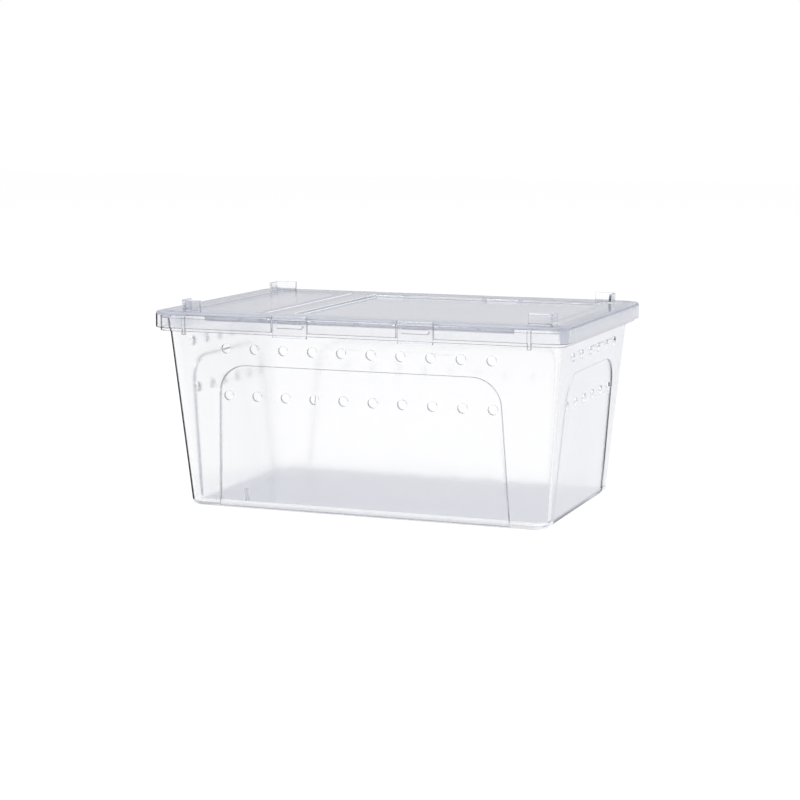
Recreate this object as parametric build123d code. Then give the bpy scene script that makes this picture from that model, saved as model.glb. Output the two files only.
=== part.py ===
from build123d import *
import os
from math import cos, radians, sin, tan

# Reptile breeding box: a drafted clear tub, a lift-off lid with a feeding hatch, and four hinged latches.
# Millimetres, +Z up. The origin is the middle of the tub's base. The front is -Y, the length runs along X.

# Overall size
LID_LENGTH = 191.0
LID_DEPTH = 127.0
LID_TOP = 88.2
WALL = 1.5
DRAFT = 5.0
DRAFT_SLOPE = tan(radians(DRAFT))
WALL_LEVEL = WALL / cos(radians(DRAFT))

# Lid shell: a plate with a skirt that hangs outside the tub's rim
LID_CORNER = 7.5
LID_EDGE_ROUNDING = 1.4
SKIRT_HEIGHT = 7.3
PLATE_UNDERSIDE = LID_TOP - WALL
SKIRT_BOTTOM = LID_TOP - SKIRT_HEIGHT
RIM_CLEARANCE = 0.6

# Rim of the tub: a flange with a lip turned down, under the lid's plate and inside its skirt
RIM_TOP = PLATE_UNDERSIDE
RIM_HALF_LENGTH = LID_LENGTH / 2 - WALL - RIM_CLEARANCE
RIM_HALF_DEPTH = LID_DEPTH / 2 - WALL - RIM_CLEARANCE
RIM_CORNER = LID_CORNER - WALL - RIM_CLEARANCE
RIM_WALL = 1.2
RIM_GAP = 0.9
FLANGE = 1.4
LIP_BELOW_SKIRT = 1.5
LIP_BOTTOM = SKIRT_BOTTOM - LIP_BELOW_SKIRT
RIM_CHAMFER = 0.4

# Tub: its walls run down and inward from inside the rim's lip
RIM_TO_BASE = RIM_WALL + RIM_GAP + DRAFT_SLOPE * RIM_TOP
BASE_HALF_LENGTH = RIM_HALF_LENGTH - RIM_TO_BASE
BASE_HALF_DEPTH = RIM_HALF_DEPTH - RIM_TO_BASE
TUB_CORNER = 7.0
FLOOR = 1.8
BASE_ROUNDING = 2.5
FLOOR_ROUNDING = 2.0

# Arched panels, set into the four walls by one small step
ARCH_STEP = 0.6
ARCH_BELOW_LIP = 14.4
ARCH_TOP = LIP_BOTTOM - ARCH_BELOW_LIP
ARCH_ROUNDING = 13.0
ARCH_LEAN = 0.052
LONG_ARCH_END = 15.9
SHORT_ARCH_END = 11.8
LONG_ARCH_HALF_FOOT = BASE_HALF_LENGTH - LONG_ARCH_END
SHORT_ARCH_HALF_FOOT = BASE_HALF_DEPTH - SHORT_ARCH_END
ARCH_PAD_FOOT = 1.0

# Vent holes, two rows on every wall, each drilled with enough sides to pass for round
HOLE_RADIUS = 2.25
HOLE_SIDES = 12
UPPER_HOLES_BELOW_LIP = 7.1
LOWER_HOLES_BELOW_ARCH = 13.8
HOLE_ROWS = (ARCH_TOP - LOWER_HOLES_BELOW_ARCH, LIP_BOTTOM - UPPER_HOLES_BELOW_LIP)
HOLE_PITCH = 13.6
HOLE_END_MARGIN = 16.5

# Small upright fin at the foot of the front wall
FIN_FROM_LEFT = 28.5
FIN_WIDTH = 1.2
FIN_HEIGHT = 9.0
FIN_REACH = 2.0

# Lid: recessed panel, hatch recess and the bridge between them
RECESS = 1.3
STACK_LEDGE = 2.4
RECESS_FLOOR = LID_TOP - RECESS
RECESS_HALF_LENGTH = BASE_HALF_LENGTH - STACK_LEDGE
RECESS_HALF_DEPTH = BASE_HALF_DEPTH - STACK_LEDGE
RECESS_CORNER = 4.0
PANEL_UNDERSIDE = RECESS_FLOOR - WALL
BRIDGE_WIDTH = 11.3

# Strips under the lid that centre it inside the tub, each stiffened by small gussets
STRIP_CLEARANCE = 0.5
STRIP_WALL = 1.2
STRIP_HEIGHT = 2.4
STRIP_BOTTOM = PLATE_UNDERSIDE - STRIP_HEIGHT
LONG_STRIP_END = 24.5
SHORT_STRIP_END = 18.5
LONG_STRIP_HALF = LID_LENGTH / 2 - LONG_STRIP_END
SHORT_STRIP_HALF = LID_DEPTH / 2 - SHORT_STRIP_END
GUSSET_WIDTH = 1.0
GUSSET_REACH = 2.0
GUSSET_HEIGHT = 1.9
LONG_GUSSET_PITCH = 27.6
SHORT_GUSSET_PITCH = 18.0
GUSSETS_A_SIDE = 5

# Narrow guide teeth near the ends of the long skirts
TOOTH_FROM_END = 16.3
TOOTH_WIDTH = 1.7
TOOTH_PROUD = 0.3
TOOTH_BELOW_LIP = 1.1
TOOTH_BOTTOM = LIP_BOTTOM - TOOTH_BELOW_LIP

# Stacking lugs on the lid, which stand round the foot of the box above and lean with its walls
LUG_CLEARANCE = 0.6
LUG_WALL = 1.2
LUG_CORNER = 2.0
LUG_LEG = 9.9
LUG_HEIGHT = 4.4
LUG_CHAMFER = 0.4

# Hatch and its hinge
HATCH_CLEARANCE = 0.3
HATCH_LENGTH = 36.0
HATCH_LEFT = -RECESS_HALF_LENGTH + HATCH_CLEARANCE
HATCH_HALF_DEPTH = RECESS_HALF_DEPTH - HATCH_CLEARANCE
HATCH_CHAMFER = 0.3
HATCH_BARREL_RADIUS = 1.1
HATCH_AXIS_X = HATCH_LEFT + HATCH_LENGTH
HATCH_AXIS_Z = LID_TOP - HATCH_BARREL_RADIUS
HATCH_PIN_RADIUS = 0.6
HATCH_PIN_LENGTH = 1.4
HATCH_PIN_CLEARANCE = 0.05
HATCH_GROOVE_RADIUS = HATCH_BARREL_RADIUS + HATCH_CLEARANCE
HATCH_SEAT = 3.0
HATCH_WAY_CORNER = 5.0

# Latches
LATCH_X = 28.8
LATCH_NOTCH = 16.6
LATCH_SIDE_GAP = 0.3
LATCH_BARREL_RADIUS = 1.0
LATCH_PIN_RADIUS = 0.5
LATCH_PIN_LENGTH = 2.0
LATCH_PIN_CLEARANCE = 0.05
LATCH_PLATE = 1.0
LATCH_INSET = 0.8
LATCH_BELOW_LIP = 0.8
LATCH_BOTTOM = LIP_BOTTOM - LATCH_BELOW_LIP
LATCH_BAR_WIDTH = 13.6
LATCH_BAR_HEIGHT = 2.0
LATCH_BAR_ABOVE_SKIRT = 3.0
LATCH_BAR_Z = SKIRT_BOTTOM + LATCH_BAR_ABOVE_SKIRT
LATCH_GRIP = 0.9
LATCH_BACK_GAP = 0.3
LATCH_AXIS_Y = LID_DEPTH / 2 - LATCH_BARREL_RADIUS
LATCH_AXIS_Z = LID_TOP - LATCH_BARREL_RADIUS
BOSS_WALL = 0.4

# The tub's walls, in the order in which a quarter turn brings each to the next
SIDES = ("front", "right", "back", "left")
LONG_SIDES = ("front", "back")


def rounded_block(half_length, half_depth, corner, bottom, top):
    """Upright block with rounded corners, centred on the Z axis."""
    outline = RectangleRounded(2 * half_length, 2 * half_depth, corner)
    return extrude(Plane.XY.offset(bottom) * outline, amount=top - bottom)


def drafted_profile(half, bottom, top):
    """Upright outline with two leaning sides; the half width is that at the height zero."""
    low = half + DRAFT_SLOPE * bottom
    high = half + DRAFT_SLOPE * top
    return Polygon((-low, bottom), (low, bottom), (high, top), (-high, top), align=None)


def drafted_block(half_length, half_depth, corner, bottom, top):
    """Block whose four walls lean outward by the draft, with rounded corners."""
    along = extrude(Plane.XZ * drafted_profile(half_length, bottom, top), amount=LID_LENGTH, both=True)
    across = extrude(Plane.YZ * drafted_profile(half_depth, bottom, top), amount=LID_LENGTH, both=True)
    block = along & across
    return fillet(block.edges().group_by(Axis.Z)[1], corner)


def span_box(x_span, y_span, z_span):
    """Box between three pairs of limits."""
    spans = (x_span, y_span, z_span)
    sizes = [high - low for low, high in spans]
    middles = [(low + high) / 2 for low, high in spans]
    return Pos(*middles) * Box(*sizes)


def bar_along_x(radius, length, y, z):
    return Pos(0, y, z) * Rot(0, 90, 0) * Cylinder(radius, length)


def bar_along_y(radius, length, x, z):
    return Pos(x, 0, z) * Rot(90, 0, 0) * Cylinder(radius, length)


def bottom_edges(solid):
    return solid.faces().sort_by(Axis.Z)[0].edges()


def top_edges(solid):
    return solid.faces().sort_by(Axis.Z)[-1].edges()


def wall_plane(side, inset):
    """Plane on a drafted wall, seen from outside, with its own y axis running up the wall."""
    turn = 90 * SIDES.index(side)
    half = BASE_HALF_DEPTH if side in LONG_SIDES else BASE_HALF_LENGTH
    lean = radians(DRAFT)
    outward = (0, -cos(lean), -sin(lean))
    front = Plane(origin=(0, inset / cos(lean) - half, 0), x_dir=(1, 0, 0), z_dir=outward)
    return Plane(Location((0, 0, 0), (0, 0, turn)) * front.location)


def arch_prism(side, inset, depth, foot):
    """Arched block on a wall, from its plane inward by the depth, with its foot at the given height."""
    half_foot = LONG_ARCH_HALF_FOOT if side in LONG_SIDES else SHORT_ARCH_HALF_FOOT
    top = ARCH_TOP / cos(radians(DRAFT))
    half_top = half_foot - ARCH_LEAN * top
    half_low = half_foot - ARCH_LEAN * foot
    outline = Polygon((-half_low, foot), (half_low, foot), (half_top, top), (-half_top, top), align=None)
    outline = fillet(outline.vertices().group_by(Axis.Y)[-1], ARCH_ROUNDING)
    return extrude(wall_plane(side, inset) * outline, amount=-depth)


def vent_drills(side):
    """Drills for the two rows of vent holes in one wall, square to the wall."""
    half = BASE_HALF_LENGTH if side in LONG_SIDES else BASE_HALF_DEPTH
    count = int(2 * (half - HOLE_END_MARGIN) / HOLE_PITCH) + 1
    outline = RegularPolygon(HOLE_RADIUS, HOLE_SIDES)
    holes = Sketch()
    for row in HOLE_ROWS:
        for column in range(count):
            across = (column - (count - 1) / 2) * HOLE_PITCH
            holes += Pos(across, row / cos(radians(DRAFT)), 0) * outline
    return extrude(wall_plane(side, 0) * holes, amount=2 * WALL, both=True)


def make_tub():
    body = drafted_block(BASE_HALF_LENGTH, BASE_HALF_DEPTH, TUB_CORNER, 0, RIM_TOP)
    body = fillet(bottom_edges(body), BASE_ROUNDING)
    body -= [arch_prism(side, -ARCH_STEP, 2 * ARCH_STEP, -ARCH_STEP) for side in SIDES]

    rim = rounded_block(RIM_HALF_LENGTH, RIM_HALF_DEPTH, RIM_CORNER, LIP_BOTTOM, RIM_TOP)
    rim = chamfer(top_edges(rim), RIM_CHAMFER)
    rim -= rounded_block(RIM_HALF_LENGTH - RIM_WALL, RIM_HALF_DEPTH - RIM_WALL, RIM_CORNER - RIM_WALL,
                         LIP_BOTTOM, RIM_TOP - FLANGE)
    body += rim

    inner_length = BASE_HALF_LENGTH - WALL_LEVEL
    inner_depth = BASE_HALF_DEPTH - WALL_LEVEL
    cavity = drafted_block(inner_length, inner_depth, TUB_CORNER - WALL, FLOOR, RIM_TOP)
    cavity = fillet(bottom_edges(cavity), FLOOR_ROUNDING)
    cavity -= [arch_prism(side, WALL, ARCH_STEP, ARCH_PAD_FOOT) for side in SIDES]
    fin_x = FIN_FROM_LEFT - BASE_HALF_LENGTH
    cavity -= span_box((fin_x - FIN_WIDTH / 2, fin_x + FIN_WIDTH / 2),
                       (-BASE_HALF_DEPTH, FIN_REACH - inner_depth), (0, FIN_HEIGHT))
    body -= cavity

    for side in SIDES:
        body -= vent_drills(side)
    return body


def lid_shell():
    """Plate and skirt, with the underside of the recessed panel."""
    half_length = LID_LENGTH / 2
    half_depth = LID_DEPTH / 2
    shell = rounded_block(half_length, half_depth, LID_CORNER, SKIRT_BOTTOM, LID_TOP)
    shell = fillet(top_edges(shell), LID_EDGE_ROUNDING)
    shell -= rounded_block(half_length - WALL, half_depth - WALL, LID_CORNER - WALL,
                           SKIRT_BOTTOM, PLATE_UNDERSIDE)
    return shell + rounded_block(RECESS_HALF_LENGTH + WALL, RECESS_HALF_DEPTH + WALL, RECESS_CORNER + WALL,
                                 PANEL_UNDERSIDE, RECESS_FLOOR)


def strip_with_gussets(half_length, pitch, face):
    """Strip along X under the lid, with its outer face at the given Y and its gussets on the inner side."""
    inner = face - STRIP_WALL
    strip = span_box((-half_length, half_length), (inner, face), (STRIP_BOTTOM, PLATE_UNDERSIDE))
    gusset = span_box((-GUSSET_WIDTH / 2, GUSSET_WIDTH / 2), (inner - GUSSET_REACH, inner),
                      (PLATE_UNDERSIDE - GUSSET_HEIGHT, PLATE_UNDERSIDE))
    places = [(index - (GUSSETS_A_SIDE - 1) / 2) * pitch for index in range(GUSSETS_A_SIDE)]
    return strip + [Pos(x, 0, 0) * gusset for x in places]


def centring_strips():
    """The four strips that fit inside the tub's rim."""
    reach = DRAFT_SLOPE * STRIP_BOTTOM - WALL_LEVEL - STRIP_CLEARANCE
    long_strip = strip_with_gussets(LONG_STRIP_HALF, LONG_GUSSET_PITCH, BASE_HALF_DEPTH + reach)
    short_strip = strip_with_gussets(SHORT_STRIP_HALF, SHORT_GUSSET_PITCH, BASE_HALF_LENGTH + reach)
    return [Rot(0, 0, 0) * long_strip, Rot(0, 0, 180) * long_strip,
            Rot(0, 0, 90) * short_strip, Rot(0, 0, -90) * short_strip]


def recess_pocket(left, right):
    """Cut that sinks part of the lid's top between two X limits."""
    pocket = rounded_block(RECESS_HALF_LENGTH, RECESS_HALF_DEPTH, RECESS_CORNER, RECESS_FLOOR, LID_TOP)
    return pocket & span_box((left, right), (-LID_DEPTH, LID_DEPTH), (RECESS_FLOOR, LID_TOP))


def stacking_lugs():
    """Four L-shaped walls just outside the foot of a box stacked on the lid, rooted in the plate."""
    inner_length = BASE_HALF_LENGTH + LUG_CLEARANCE
    inner_depth = BASE_HALF_DEPTH + LUG_CLEARANCE
    fence = drafted_block(inner_length + LUG_WALL, inner_depth + LUG_WALL, LUG_CORNER + LUG_WALL,
                          -WALL, LUG_HEIGHT)
    fence = chamfer(top_edges(fence), LUG_CHAMFER)
    fence -= drafted_block(inner_length, inner_depth, LUG_CORNER, -WALL, LUG_HEIGHT)
    gap_x = inner_length + LUG_WALL - LUG_LEG
    gap_y = inner_depth + LUG_WALL - LUG_LEG
    fence -= span_box((-gap_x, gap_x), (-LID_DEPTH, LID_DEPTH), (-WALL, LUG_HEIGHT))
    fence -= span_box((-LID_LENGTH, LID_LENGTH), (-gap_y, gap_y), (-WALL, LUG_HEIGHT))
    return Pos(0, 0, LID_TOP) * fence


def hinge_strip():
    """Hinge trough under the lid to add, and the cuts for it and for the hollow bridge beside it."""
    bridge_left = HATCH_AXIS_X + HATCH_GROOVE_RADIUS
    hollow = (bridge_left + WALL, bridge_left + BRIDGE_WIDTH - WALL)
    trough = span_box((HATCH_AXIS_X - HATCH_GROOVE_RADIUS - WALL, hollow[0]),
                      (-RECESS_HALF_DEPTH - WALL, RECESS_HALF_DEPTH + WALL),
                      (HATCH_AXIS_Z - HATCH_GROOVE_RADIUS - WALL, RECESS_FLOOR))
    under = span_box(hollow, (-RECESS_HALF_DEPTH, RECESS_HALF_DEPTH), (PANEL_UNDERSIDE, PLATE_UNDERSIDE))
    groove = bar_along_y(HATCH_GROOVE_RADIUS, 2 * RECESS_HALF_DEPTH, HATCH_AXIS_X, HATCH_AXIS_Z)
    pin_reach = HATCH_HALF_DEPTH + HATCH_PIN_LENGTH + HATCH_PIN_CLEARANCE
    bores = bar_along_y(HATCH_PIN_RADIUS + HATCH_PIN_CLEARANCE, 2 * pin_reach, HATCH_AXIS_X, HATCH_AXIS_Z)
    return trough, [under, groove, bores]


def hatch_way():
    """Opening under the hatch, with a seat left round it."""
    left = HATCH_LEFT + HATCH_SEAT
    right = HATCH_AXIS_X - HATCH_GROOVE_RADIUS - WALL - HATCH_SEAT / 2
    way = rounded_block((right - left) / 2, RECESS_HALF_DEPTH - HATCH_SEAT - WALL, HATCH_WAY_CORNER,
                        PANEL_UNDERSIDE, RECESS_FLOOR)
    return Pos((left + right) / 2, 0, 0) * way


def latch_seat():
    """Seat of one latch at the middle of the back edge: the bosses to add, and the cuts."""
    half = LATCH_NOTCH / 2
    back = LATCH_AXIS_Y - LATCH_BARREL_RADIUS - LATCH_BACK_GAP
    bore = LATCH_PIN_RADIUS + LATCH_PIN_CLEARANCE
    bore_reach = half + LATCH_PIN_LENGTH
    boss_reach = bore_reach + BOSS_WALL
    boss = span_box((-boss_reach, boss_reach), (LATCH_AXIS_Y - bore - BOSS_WALL, LATCH_AXIS_Y + bore),
                    (LATCH_AXIS_Z - bore - BOSS_WALL, LATCH_AXIS_Z))
    notch = span_box((-half, half), (back, LID_DEPTH), (0, LID_TOP))
    return boss, [notch, bar_along_x(bore, 2 * bore_reach, LATCH_AXIS_Y, LATCH_AXIS_Z)]


def guide_tooth():
    """Tooth at the middle of the back skirt, a little proud of it and longer than the tub's lip."""
    inner = LID_DEPTH / 2 - WALL
    return span_box((-TOOTH_WIDTH / 2, TOOTH_WIDTH / 2), (inner, LID_DEPTH / 2 + TOOTH_PROUD),
                    (TOOTH_BOTTOM, PLATE_UNDERSIDE))


def make_lid():
    lid = lid_shell() + centring_strips() + stacking_lugs()
    lid -= recess_pocket(HATCH_AXIS_X + HATCH_GROOVE_RADIUS + BRIDGE_WIDTH, RECESS_HALF_LENGTH)
    lid -= recess_pocket(-RECESS_HALF_LENGTH, HATCH_AXIS_X + HATCH_GROOVE_RADIUS)

    trough, hinge_cuts = hinge_strip()
    lid = lid + trough - hinge_cuts - hatch_way()

    tooth = guide_tooth()
    tooth_x = LID_LENGTH / 2 - TOOTH_FROM_END
    boss, seat_cuts = latch_seat()
    for turn in (0, 180):
        for side in (-1, 1):
            lid += Rot(0, 0, turn) * Pos(side * tooth_x, 0, 0) * tooth
            place = Rot(0, 0, turn) * Pos(side * LATCH_X, 0, 0)
            lid += place * boss
            lid -= [place * cut for cut in seat_cuts]
    return lid


def make_hatch():
    corner = RECESS_CORNER - HATCH_CLEARANCE
    plate = rounded_block(-HATCH_LEFT, HATCH_HALF_DEPTH, corner, RECESS_FLOOR, LID_TOP)
    plate &= span_box((HATCH_LEFT, HATCH_AXIS_X), (-LID_DEPTH, LID_DEPTH), (RECESS_FLOOR, LID_TOP))
    plate = chamfer(top_edges(plate).sort_by(Axis.X)[:-1], HATCH_CHAMFER)
    barrel = bar_along_y(HATCH_BARREL_RADIUS, 2 * HATCH_HALF_DEPTH, HATCH_AXIS_X, HATCH_AXIS_Z)
    pins = bar_along_y(HATCH_PIN_RADIUS, 2 * (HATCH_HALF_DEPTH + HATCH_PIN_LENGTH),
                       HATCH_AXIS_X, HATCH_AXIS_Z)
    return plate + [barrel, pins]


def latch_bar_outline():
    """Raised bar across a latch, pointed at both ends."""
    point = LATCH_BAR_WIDTH / 2
    shoulder = point - LATCH_BAR_HEIGHT / 2
    low = LATCH_BAR_Z - LATCH_BAR_HEIGHT / 2
    high = LATCH_BAR_Z + LATCH_BAR_HEIGHT / 2
    return Polygon((-point, LATCH_BAR_Z), (-shoulder, low), (shoulder, low), (point, LATCH_BAR_Z),
                   (shoulder, high), (-shoulder, high), align=None)


def make_latch():
    """Latch in its closed place at the middle of the back edge."""
    half = LATCH_NOTCH / 2 - LATCH_SIDE_GAP
    outer = LID_DEPTH / 2
    face = outer - LATCH_INSET
    inner = face - LATCH_PLATE
    plate = span_box((-half, half), (inner, face), (LATCH_BOTTOM, LATCH_AXIS_Z))
    barrel = bar_along_x(LATCH_BARREL_RADIUS, 2 * half, LATCH_AXIS_Y, LATCH_AXIS_Z)
    pins = bar_along_x(LATCH_PIN_RADIUS, 2 * (half + LATCH_PIN_LENGTH), LATCH_AXIS_Y, LATCH_AXIS_Z)
    bar = extrude(Plane.XZ.offset(-outer) * latch_bar_outline(), amount=outer - inner)
    grip = span_box((-half, half), (inner, outer), (LATCH_BOTTOM, LATCH_BOTTOM + LATCH_GRIP))
    return plate + [barrel, pins, bar, grip]


def save(name, solid):
    solid.label = name
    export_step(solid, f"parts/{name}.step")


os.makedirs("parts", exist_ok=True)
save("tub", make_tub())
save("lid", make_lid())
save("hatch", make_hatch())
latch = make_latch()
save("latch_front_left", Rot(0, 0, 180) * Pos(LATCH_X, 0, 0) * latch)
save("latch_front_right", Rot(0, 0, 180) * Pos(-LATCH_X, 0, 0) * latch)
save("latch_back_left", Pos(-LATCH_X, 0, 0) * latch)
save("latch_back_right", Pos(LATCH_X, 0, 0) * latch)
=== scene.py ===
import bpy
from math import radians
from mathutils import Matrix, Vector


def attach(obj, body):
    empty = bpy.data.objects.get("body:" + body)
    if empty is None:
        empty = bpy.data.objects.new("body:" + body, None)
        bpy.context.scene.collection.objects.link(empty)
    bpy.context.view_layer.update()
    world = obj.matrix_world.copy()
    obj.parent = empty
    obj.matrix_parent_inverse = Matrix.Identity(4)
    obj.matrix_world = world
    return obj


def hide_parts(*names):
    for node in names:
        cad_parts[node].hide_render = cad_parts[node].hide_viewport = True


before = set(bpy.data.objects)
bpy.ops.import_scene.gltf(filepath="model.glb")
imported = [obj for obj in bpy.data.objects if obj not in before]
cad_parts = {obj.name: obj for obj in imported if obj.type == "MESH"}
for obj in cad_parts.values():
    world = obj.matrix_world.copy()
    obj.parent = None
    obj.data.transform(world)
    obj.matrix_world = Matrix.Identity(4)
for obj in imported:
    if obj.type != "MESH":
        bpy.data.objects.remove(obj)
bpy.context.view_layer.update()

# Reptile breeding box: a clear moulded tub, its lid with a feeding hatch, and four latches.
# Metres, +Z up. The front is -Y, the length runs along X, and the box stands at the height zero.

# How the camera of the photograph stands
PHOTO_SIZE = 800
FOCAL_PIXELS = 2049.3
SENSOR_WIDTH = 36.0
CAMERA_PLACE = (0.32428, -0.86779, 0.1778)
CAMERA_TURN = 20.583
CAMERA_TILT = 8.157
CAMERA_ROLL = -0.116
CAMERA_NEAR = 0.01

# Studio
FLOOR_SIZE = 8.0
FLOOR_DROP = 0.0002
FLOOR_GREY = 0.8
FLOOR_SHADE = 0.22
FLOOR_GLOW = 0.8
LOW_SKY = (0.64, 0.65, 0.68, 1)
HIGH_SKY = (1.0, 1.0, 1.0, 1)
LOW_SKY_END = 0.2
HIGH_SKY_START = 0.4
CARD_START = 0.55
CARD_FULL = 0.75
CARD_LEVEL = 0.08
LAMP_PLACE = (-0.3, -0.4, 1.4)
LAMP_AIM = (0, 0, 0.05)
LAMP_SIZE = 1.2
LAMP_POWER = 12

# Clear plastic
IOR = 1.5
MOST_MIRRORED = 2.5
MOST_CROSSED = 9.5
DEEP_TINT = (0.9, 0.91, 0.94, 1)
SHADOW_TINT = (0.955, 0.957, 0.965, 1)
PLASTIC_ROUGHNESS = 0.13
EDGE_ROUGHNESS = 0.03
CORNER_ROUGHNESS = 0.1
LID_EDGE_ROUGHNESS = 0.35
HAZE_SPREAD = (0.8, 1.2)
FLOW_SCALE = 30.0
FLOW_DETAIL = 2.0
FACING_BLEND = 0.5

# Painted highlights and painted light bands
HIGHLIGHT_ROUGHNESS = 0.4
HIGHLIGHT_SPECKLE_SCALE = 900.0
HIGHLIGHT_SPECKLE_TINTS = ((0.3, (0.9, 0.91, 0.93, 1)), (0.7, (1.0, 1.0, 1.0, 1)))
# Clearness of the paler painted light band along the front of the base
LIGHT_BAND_CLEARNESS = 0.5

# Tints of the clear plastics, from seen square on to seen at a flat angle: the plastic's own faint tint
# square on, greyer at a flat angle as painted reflection and shade
TUB_TINTS = ((0.3, (0.98, 0.98, 0.985, 1)),
             (0.66, (0.86, 0.867, 0.888, 1)),
             (0.88, (0.582, 0.598, 0.682, 1)))
LID_TINTS = ((0.3, (0.96, 0.963, 0.975, 1)),
             (0.66, (0.824, 0.845, 0.897, 1)),
             (0.88, (0.69, 0.7, 0.745, 1)))
# Dark painted shade on the bevelled edges and the vent holes' walls
EDGE_TINTS = ((0.0, (0.3, 0.305, 0.33, 1)), (1.0, (0.2, 0.205, 0.23, 1)))
# Greyer painted shade on the left round corners, seen at a flat angle
CORNER_TINTS = ((0.4, (0.97, 0.97, 0.975, 1)), (0.65, (0.8, 0.805, 0.83, 1)))
# Darker painted shade along the lid's strips
STRIP_SHADE_TINTS = ((0.3, (0.55, 0.56, 0.62, 1)), (0.8, (0.4, 0.41, 0.47, 1)))
# Warm dark painted shade along the tub's foot and bottom edge
BASE_TINTS = ((0.3, (0.76, 0.745, 0.7, 1)), (0.9, (0.5, 0.49, 0.465, 1)))
# Darker painted shade on the tub's right round corners
RIGHT_CORNER_SHADE_TINTS = ((0.3, (0.97, 0.97, 0.98, 1)),
               (0.6, (0.88, 0.88, 0.9, 1)),
               (0.9, (0.55, 0.55, 0.57, 1)))
# Lavender painted shade along the lid's outer top fillet, its right round corners and the latches' sides
LID_EDGE_TINTS = ((0.3, (0.71, 0.735, 0.82, 1)), (0.9, (0.6, 0.625, 0.71, 1)))
FAINT_TINTS = ((0.3, (0.985, 0.985, 0.99, 1)), (0.9, (0.93, 0.933, 0.945, 1)))

# Moulded edges
WELD_DISTANCE = 1e-6
FLAT_ANGLE = 0.01
EDGE_ANGLE = 50.0
EDGE_WIDTH = 0.0002
EDGE_SEGMENTS = 2
SMOOTH_ANGLE = 30.0
LARGE_FACE_WEIGHT = 100

# Round corners: how far out they lie, how far their faces turn, and how steep they stay; where they turn
# away they get painted shade
CORNER_X = 0.070
CORNER_Y = 0.040
CORNER_SLANT = 0.3
CORNER_RISE = 0.3
LID_CORNER_TURN = 0.55
TUB_TURNED = (0.5, 0.62)
LID_TURNED = (0.54, 0.66)
# Painted dark shade that the left round corners fade into where they turn away
SILHOUETTE_SHADE_TINT = (0.08, 0.082, 0.09, 1)

# Vent holes: the largest face of their walls, each row's heights and smallest face,
# and how far out they lie
LARGEST_HOLE_FACE = 2.4e-6
HOLE_ROWS = (((0.0488, 0.0541), 0.8e-6), ((0.0697, 0.0750), 0.3e-6))
OUTER_WALL_X = 0.083
OUTER_WALL_Y = 0.051

# Where the faces lie that get painted highlights, painted shade or clearer plastic of their own
ACROSS = 0.2
LID_EDGE_HEIGHT = 0.0862
WHITE_EDGES_X = ((-0.0465, -0.0300), (0.0700, 0.0900))
BARREL_X = (-0.0458, -0.0442)
BARREL_TOP = 0.9
STRIP_Y = (0.0555, 0.0574)
STRIP_LEVELS = (0.0841, 0.0868)
LUG_HEIGHT = 0.0884
LATCH_FOOT_HEIGHT = 0.0812
INNER_FLOOR_LEVELS = (0.0017, 0.0036)
INNER_FLOOR_FRONT = -0.046
FLOOR_FILLET_RISE = (0.1, 0.99)
BASE_EDGE_HEIGHT = 0.0023
BASE_FILLET_RISE = (-0.99, -0.1)
BASE_WALL_Y = (-0.0517, -0.0508)
BASE_WALL_FACING = -0.95
BASE_CUTS = (0.0012, 0.0027, 0.0036)
LID_FILLET_RISE = (0.1, 0.985)
LID_FILLET_LEVELS = (0.0862, 0.0884)
LID_OUTER_X = 0.0925
LID_OUTER_Y = 0.0605

# Material slots of a moulded piece
(BODY_SLOT, EDGE_SLOT, CORNER_SLOT, HIGHLIGHT_SLOT, PAINTED_SHADE_SLOT, ROUNDED_SLOT, FAINT_SLOT,
 LIGHT_BAND_SLOT) = range(8)


def add_camera():
    turn = (radians(90 - CAMERA_TILT), radians(CAMERA_ROLL), radians(CAMERA_TURN))
    bpy.ops.object.camera_add(location=CAMERA_PLACE, rotation=turn)
    camera = bpy.context.object
    camera.name = "photo_camera"
    camera.data.sensor_width = SENSOR_WIDTH
    camera.data.lens = FOCAL_PIXELS / PHOTO_SIZE * SENSOR_WIDTH
    camera.data.clip_start = CAMERA_NEAR
    bpy.context.scene.camera = camera


def node_tree(name):
    material = bpy.data.materials.new(name)
    material.use_nodes = True
    tree = material.node_tree
    tree.nodes.clear()
    return material, tree


def link(tree, source, target):
    tree.links.new(source, target)


def mixed(tree, factor, first, second):
    """The second shader where the factor is 1, and the first elsewhere."""
    mix = tree.nodes.new("ShaderNodeMixShader")
    link(tree, factor, mix.inputs["Fac"])
    link(tree, first, mix.inputs[1])
    link(tree, second, mix.inputs[2])
    return mix.outputs["Shader"]


def calculated(tree, operation, first, second):
    """Result of a Math node; each value is a socket or a number."""
    node = tree.nodes.new("ShaderNodeMath")
    node.operation = operation
    for value, socket in zip((first, second), node.inputs):
        if isinstance(value, float):
            socket.default_value = value
        else:
            link(tree, value, socket)
    return node.outputs["Value"]


def transparent(tree, colour):
    shader = tree.nodes.new("ShaderNodeBsdfTransparent")
    shader.inputs["Color"].default_value = colour
    return shader.outputs["BSDF"]


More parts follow.
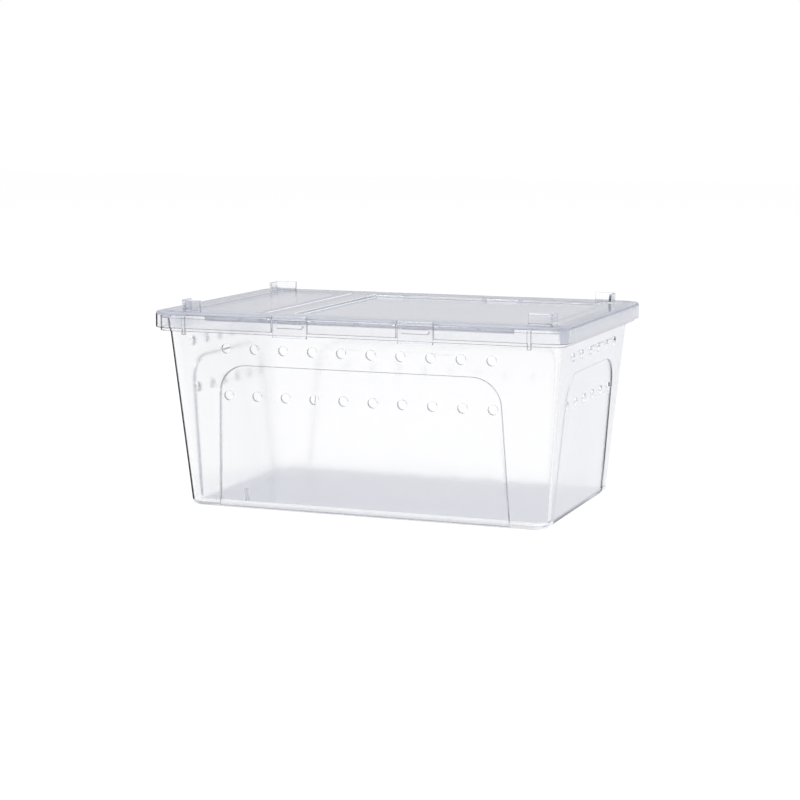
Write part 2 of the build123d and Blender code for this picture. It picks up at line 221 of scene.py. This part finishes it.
def clear_plastic(name, tints, roughness, turned_dark=None):
    """Clear moulded plastic with a faint tint, greyer where seen at a flat angle as painted reflection and
    shade, with faint flow marks in its polish; with turned_dark it fades into a painted dark shade where
    turned away.
    """
    material, tree = node_tree(name)
    nodes = tree.nodes
    place = nodes.new("ShaderNodeTexCoord")
    flow = nodes.new("ShaderNodeTexNoise")
    flow.inputs["Scale"].default_value = FLOW_SCALE
    flow.inputs["Detail"].default_value = FLOW_DETAIL
    link(tree, place.outputs["Object"], flow.inputs["Vector"])
    haze = nodes.new("ShaderNodeMapRange")
    haze.inputs["To Min"].default_value = roughness * HAZE_SPREAD[0]
    haze.inputs["To Max"].default_value = roughness * HAZE_SPREAD[1]
    link(tree, flow.outputs["Fac"], haze.inputs["Value"])
    plastic = nodes.new("ShaderNodeBsdfPrincipled")
    facing = nodes.new("ShaderNodeLayerWeight")
    facing.inputs["Blend"].default_value = FACING_BLEND
    body = nodes.new("ShaderNodeValToRGB")
    stops = body.color_ramp.elements
    stops[0].position, stops[0].color = tints[0]
    stops[1].position, stops[1].color = tints[-1]
    for position, colour in tints[1:-1]:
        stops.new(position).color = colour
    link(tree, facing.outputs["Facing"], body.inputs["Fac"])
    link(tree, body.outputs["Color"], plastic.inputs["Base Color"])
    plastic.inputs["IOR"].default_value = IOR
    plastic.inputs["Transmission Weight"].default_value = 1.0
    link(tree, haze.outputs["Result"], plastic.inputs["Roughness"])
    path = nodes.new("ShaderNodeLightPath")
    shown = plastic.outputs["BSDF"]
    if turned_dark:
        turned = nodes.new("ShaderNodeMapRange")
        turned.inputs["From Min"].default_value = turned_dark[0]
        turned.inputs["From Max"].default_value = turned_dark[1]
        link(tree, facing.outputs["Facing"], turned.inputs["Value"])
        shown = mixed(tree, turned.outputs["Result"], shown, transparent(tree, SILHOUETTE_SHADE_TINT))
    shown = mixed(tree, path.outputs["Is Shadow Ray"], shown, transparent(tree, SHADOW_TINT))
    mirrored = calculated(tree, "SUBTRACT", path.outputs["Ray Depth"], path.outputs["Transmission Depth"])
    lost = calculated(tree, "MAXIMUM", calculated(tree, "GREATER_THAN", mirrored, MOST_MIRRORED),
                      calculated(tree, "GREATER_THAN", path.outputs["Ray Depth"], MOST_CROSSED))
    shown = mixed(tree, lost, shown, transparent(tree, DEEP_TINT))
    output = nodes.new("ShaderNodeOutputMaterial")
    link(tree, shown, output.inputs["Surface"])
    return material


def painted_highlight_plastic(name, clearness=0.0):
    """White plastic that paints highlights, with a fine random speckle, or a paler painted light band
    where some light passes.
    """
    material, tree = node_tree(name)
    nodes = tree.nodes
    place = nodes.new("ShaderNodeTexCoord")
    speckle = nodes.new("ShaderNodeTexNoise")
    speckle.inputs["Scale"].default_value = HIGHLIGHT_SPECKLE_SCALE
    link(tree, place.outputs["Object"], speckle.inputs["Vector"])
    white = nodes.new("ShaderNodeValToRGB")
    stops = white.color_ramp.elements
    stops[0].position, stops[0].color = HIGHLIGHT_SPECKLE_TINTS[0]
    stops[1].position, stops[1].color = HIGHLIGHT_SPECKLE_TINTS[1]
    link(tree, speckle.outputs["Fac"], white.inputs["Fac"])
    plastic = nodes.new("ShaderNodeBsdfPrincipled")
    plastic.inputs["Roughness"].default_value = HIGHLIGHT_ROUGHNESS
    plastic.inputs["Transmission Weight"].default_value = clearness
    link(tree, white.outputs["Color"], plastic.inputs["Base Color"])
    output = nodes.new("ShaderNodeOutputMaterial")
    link(tree, plastic.outputs["BSDF"], output.inputs["Surface"])
    return material


def at_round_corner(face):
    """True for the upright faces that turn round a corner of the tub or the lid."""
    place, normal = face.center, face.normal
    slant = min(abs(normal.x), abs(normal.y))
    far_out = abs(place.x) > CORNER_X and abs(place.y) > CORNER_Y and place.z < LUG_HEIGHT
    return far_out and slant > CORNER_SLANT and abs(normal.z) < CORNER_RISE


def corner_slot(face, node):
    """Painted dark shade when turned away on the left, a darker painted shade on the tub's right corners
    and a lavender painted shade on the lid's, and clear inside.
    """
    if face.center.x * face.normal.x < 0:
        return FAINT_SLOT
    if face.center.x < 0:
        return CORNER_SLOT
    if node == "tub":
        return PAINTED_SHADE_SLOT
    return ROUNDED_SLOT if face.normal.x > LID_CORNER_TURN else BODY_SLOT


def between(value, limits):
    return limits[0] < value < limits[1]


def in_vent_hole(face):
    """True for the small faces that run through a wall round a vent hole."""
    if not any(between(face.center.z, levels) and between(face.area, (smallest, LARGEST_HOLE_FACE))
               for levels, smallest in HOLE_ROWS):
        return False
    on_end = abs(face.center.x) > OUTER_WALL_X and abs(face.normal.x) < ACROSS
    on_side = abs(face.center.y) > OUTER_WALL_Y and abs(face.normal.y) < ACROSS
    return on_end or on_side


def weigh_edges(mesh):
    """Marks the sharp edges for the bevel, apart from the rims of the vent holes."""
    beside = {}
    for face in mesh.polygons:
        for key in face.edge_keys:
            beside.setdefault(key, []).append(face)
    weights = mesh.attributes.new("bevel_weight_edge", "FLOAT", "EDGE")
    for edge, weight in zip(mesh.edges, weights.data):
        first, second = beside[edge.key]
        sharp = first.normal.angle(second.normal) > radians(EDGE_ANGLE)
        at_hole = EDGE_SLOT in (first.material_index, second.material_index)
        weight.value = float(sharp and not at_hole)


def tub_slot(face):
    """Clear inside the front and in the right end's holes; along the front of the base a painted white
    highlight line over a paler painted light band, and a painted dark line along the foot.
    """
    place, normal = face.center, face.normal
    at_inner_front = between(place.z, INNER_FLOOR_LEVELS) and place.y < INNER_FLOOR_FRONT
    if at_inner_front and between(normal.z, FLOOR_FILLET_RISE):
        return FAINT_SLOT
    if place.z < BASE_EDGE_HEIGHT and between(normal.z, BASE_FILLET_RISE):
        return FAINT_SLOT if abs(normal.x) > ACROSS else ROUNDED_SLOT
    if between(place.y, BASE_WALL_Y) and normal.y < BASE_WALL_FACING:
        foot, band, line = BASE_CUTS
        if place.z < foot:
            return ROUNDED_SLOT
        if place.z < line:
            return LIGHT_BAND_SLOT if place.z < band else HIGHLIGHT_SLOT
    if face.material_index == EDGE_SLOT and in_vent_hole(face) and place.x > OUTER_WALL_X:
        return FAINT_SLOT
    return face.material_index


def lid_slot(face):
    """Painted white highlights on the edges by the hinge and the panel's right end, a darker painted shade
    along the strips and a lavender painted shade round the outer top fillet, and clear on the lugs.
    """
    place, normal = face.center, face.normal
    if place.z > LUG_HEIGHT and place.x > 0:
        return FAINT_SLOT
    if between(abs(place.y), STRIP_Y) and between(place.z, STRIP_LEVELS):
        return PAINTED_SHADE_SLOT
    outermost = abs(place.x) > LID_OUTER_X or abs(place.y) > LID_OUTER_Y
    if outermost and between(place.z, LID_FILLET_LEVELS) and between(normal.z, LID_FILLET_RISE):
        return ROUNDED_SLOT
    if face.material_index == EDGE_SLOT:
        along_y = abs(normal.y) < ACROSS and normal.z > ACROSS and abs(normal.x) > ACROSS
        if along_y and place.z > LID_EDGE_HEIGHT and any(between(place.x, part) for part in WHITE_EDGES_X):
            return HIGHLIGHT_SLOT
        if place.z > LUG_HEIGHT and normal.z > ACROSS:
            return FAINT_SLOT
    return face.material_index


def hatch_slot(face):
    """Painted white highlight along the top of the hinge's barrel."""
    on_barrel = between(face.center.x, BARREL_X) and face.normal.z > BARREL_TOP
    return HIGHLIGHT_SLOT if on_barrel else face.material_index


def latch_slot(face):
    """Clear along the lowest edges, and a lighter lavender painted shade along the sides instead of the
    dark painted edge shade.
    """
    if face.material_index == EDGE_SLOT:
        if face.center.z < LATCH_FOOT_HEIGHT:
            return FAINT_SLOT
        if abs(face.normal.x) > ACROSS:
            return ROUNDED_SLOT
    return face.material_index


def moulded_copy(node, body, plastics, chosen_slot, cuts=()):
    """The node's own shape, welded and with its sharp edges taken off, to show in its place."""
    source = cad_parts[node]
    piece = bpy.data.objects.new(node + "_moulding", source.data.copy())
    bpy.context.scene.collection.objects.link(piece)
    bpy.ops.object.select_all(action="DESELECT")
    piece.select_set(True)
    bpy.context.view_layer.objects.active = piece
    piece.data.materials.clear()
    for plastic in plastics:
        piece.data.materials.append(plastic)
    bpy.ops.object.mode_set(mode="EDIT")
    bpy.ops.mesh.select_all(action="SELECT")
    bpy.ops.mesh.remove_doubles(threshold=WELD_DISTANCE)
    bpy.ops.mesh.dissolve_limited(angle_limit=radians(FLAT_ANGLE))
    for height in cuts:
        bpy.ops.mesh.select_all(action="SELECT")
        bpy.ops.mesh.bisect(plane_co=(0, 0, height), plane_no=(0, 0, 1))
    bpy.ops.mesh.select_all(action="DESELECT")
    bpy.ops.object.mode_set(mode="OBJECT")
    # Vent hole walls get the dark painted shade of the edge plastic, and round corners their own slots
    for face in piece.data.polygons:
        if node == "tub" and in_vent_hole(face):
            face.material_index = EDGE_SLOT
        elif at_round_corner(face):
            face.material_index = corner_slot(face, node)
    weigh_edges(piece.data)
    bevel = piece.modifiers.new("edges", "BEVEL")
    bevel.width = EDGE_WIDTH
    bevel.segments = EDGE_SEGMENTS
    bevel.limit_method = "WEIGHT"
    bevel.use_clamp_overlap = False
    bevel.loop_slide = False
    bevel.material = EDGE_SLOT
    bpy.ops.object.modifier_apply(modifier=bevel.name)
    for face in piece.data.polygons:
        face.material_index = chosen_slot(face)
    bpy.ops.object.shade_smooth_by_angle(angle=radians(SMOOTH_ANGLE))
    even = piece.modifiers.new("even", "WEIGHTED_NORMAL")
    even.keep_sharp = True
    even.weight = LARGE_FACE_WEIGHT
    bpy.ops.object.modifier_apply(modifier=even.name)
    piece.select_set(False)
    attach(piece, body)
    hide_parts(node)


def seen_directly(tree):
    """1 for rays that show the surface itself, in the camera, in a reflection or through the plastic."""
    path = tree.nodes.new("ShaderNodeLightPath")
    total = path.outputs["Is Camera Ray"]
    for name in ("Is Glossy Ray", "Is Transmission Ray"):
        total = calculated(tree, "MAXIMUM", total, path.outputs[name])
    return total


def add_floor():
    """Plain floor that shows white and keeps the soft shadow of the box."""
    bpy.ops.mesh.primitive_plane_add(size=FLOOR_SIZE, location=(0, 0, -FLOOR_DROP))
    floor = bpy.context.object
    floor.name = "floor"
    material, tree = node_tree("pale_floor")
    nodes = tree.nodes
    ground, shade = (nodes.new("ShaderNodeBsdfDiffuse") for _ in range(2))
    ground.inputs["Color"].default_value = (FLOOR_GREY, FLOOR_GREY, FLOOR_GREY, 1)
    shade.inputs["Color"].default_value = (FLOOR_SHADE, FLOOR_SHADE, FLOOR_SHADE, 1)
    glow = nodes.new("ShaderNodeEmission")
    glow.inputs["Strength"].default_value = FLOOR_GLOW
    both = nodes.new("ShaderNodeAddShader")
    link(tree, shade.outputs["BSDF"], both.inputs[0])
    link(tree, glow.outputs["Emission"], both.inputs[1])
    output = nodes.new("ShaderNodeOutputMaterial")
    shown = mixed(tree, seen_directly(tree), ground.outputs["BSDF"], both.outputs["Shader"])
    link(tree, shown, output.inputs["Surface"])
    floor.data.materials.append(material)


def add_world():
    """White behind the box; around it a grey horizon, a white sky and a dark card on the left."""
    world = bpy.context.scene.world or bpy.data.worlds.new("studio")
    bpy.context.scene.world = world
    world.use_nodes = True
    tree = world.node_tree
    tree.nodes.clear()
    nodes = tree.nodes
    place = nodes.new("ShaderNodeTexCoord")
    split = nodes.new("ShaderNodeSeparateXYZ")
    link(tree, place.outputs["Generated"], split.inputs["Vector"])
    sky = nodes.new("ShaderNodeValToRGB")
    stops = sky.color_ramp.elements
    stops[0].position, stops[0].color = LOW_SKY_END, LOW_SKY
    stops[1].position, stops[1].color = HIGH_SKY_START, HIGH_SKY
    link(tree, split.outputs["Z"], sky.inputs["Fac"])
    card = nodes.new("ShaderNodeMapRange")
    card.inputs["From Min"].default_value = -CARD_START
    card.inputs["From Max"].default_value = -CARD_FULL
    card.inputs["To Min"].default_value = 1.0
    card.inputs["To Max"].default_value = CARD_LEVEL
    link(tree, split.outputs["X"], card.inputs["Value"])
    around = nodes.new("ShaderNodeBackground")
    link(tree, sky.outputs["Color"], around.inputs["Color"])
    link(tree, card.outputs["Result"], around.inputs["Strength"])
    behind = nodes.new("ShaderNodeBackground")
    behind.inputs["Color"].default_value = (1, 1, 1, 1)
    path = nodes.new("ShaderNodeLightPath")
    output = nodes.new("ShaderNodeOutputWorld")
    shown = mixed(tree, path.outputs["Is Camera Ray"], around.outputs["Background"],
                  behind.outputs["Background"])
    link(tree, shown, output.inputs["Surface"])


def add_lamp(name, place, size, power):
    bpy.ops.object.light_add(type="AREA", location=place)
    lamp = bpy.context.object
    lamp.name = name
    lamp.data.size = size
    lamp.data.energy = power
    lamp.rotation_euler = (Vector(place) - Vector(LAMP_AIM)).to_track_quat("Z", "Y").to_euler()


bpy.context.scene.view_settings.view_transform = "Standard"
bpy.ops.object.select_all(action="DESELECT")
add_camera()
add_floor()
add_world()
add_lamp("softbox", LAMP_PLACE, LAMP_SIZE, LAMP_POWER)

tub_plastic = clear_plastic("tub_plastic", TUB_TINTS, PLASTIC_ROUGHNESS)
lid_plastic = clear_plastic("lid_plastic", LID_TINTS, PLASTIC_ROUGHNESS)
# From here to the lid's edge plastic, the materials paint shade: dark edges, dark left corners, darker
# strips and right corners, a dark base line and a lavender band on the lid
edge_plastic = clear_plastic("edge_plastic", EDGE_TINTS, EDGE_ROUGHNESS)
tub_corner = clear_plastic("tub_corner_plastic", CORNER_TINTS, CORNER_ROUGHNESS, TUB_TURNED)
lid_corner = clear_plastic("lid_corner_plastic", CORNER_TINTS, CORNER_ROUGHNESS, LID_TURNED)
strip_shade_plastic = clear_plastic("strip_shade_plastic", STRIP_SHADE_TINTS, PLASTIC_ROUGHNESS)
base_edge = clear_plastic("base_edge_plastic", BASE_TINTS, PLASTIC_ROUGHNESS)
right_corner_shade_plastic = clear_plastic("right_corner_shade_plastic", RIGHT_CORNER_SHADE_TINTS, CORNER_ROUGHNESS)
lid_edge = clear_plastic("lid_edge_plastic", LID_EDGE_TINTS, LID_EDGE_ROUGHNESS)
faint_plastic = clear_plastic("faint_plastic", FAINT_TINTS, PLASTIC_ROUGHNESS)
# Painted white highlights, and a paler painted light band
highlight_paint = painted_highlight_plastic("painted_highlight_plastic")
light_band_paint = painted_highlight_plastic("painted_light_band_plastic", LIGHT_BAND_CLEARNESS)
tub_plastics = (tub_plastic, edge_plastic, tub_corner, highlight_paint,
                right_corner_shade_plastic, base_edge, faint_plastic, light_band_paint)
lid_plastics = (lid_plastic, edge_plastic, lid_corner, highlight_paint,
                strip_shade_plastic, lid_edge, faint_plastic, light_band_paint)
moulded_copy("tub", "tub", tub_plastics, tub_slot, BASE_CUTS)
moulded_copy("lid", "lid", lid_plastics, lid_slot)
moulded_copy("hatch", "hatch", lid_plastics, hatch_slot)
for node in ("latch_front_left", "latch_front_right", "latch_back_left", "latch_back_right"):
    moulded_copy(node, node, lid_plastics, latch_slot)
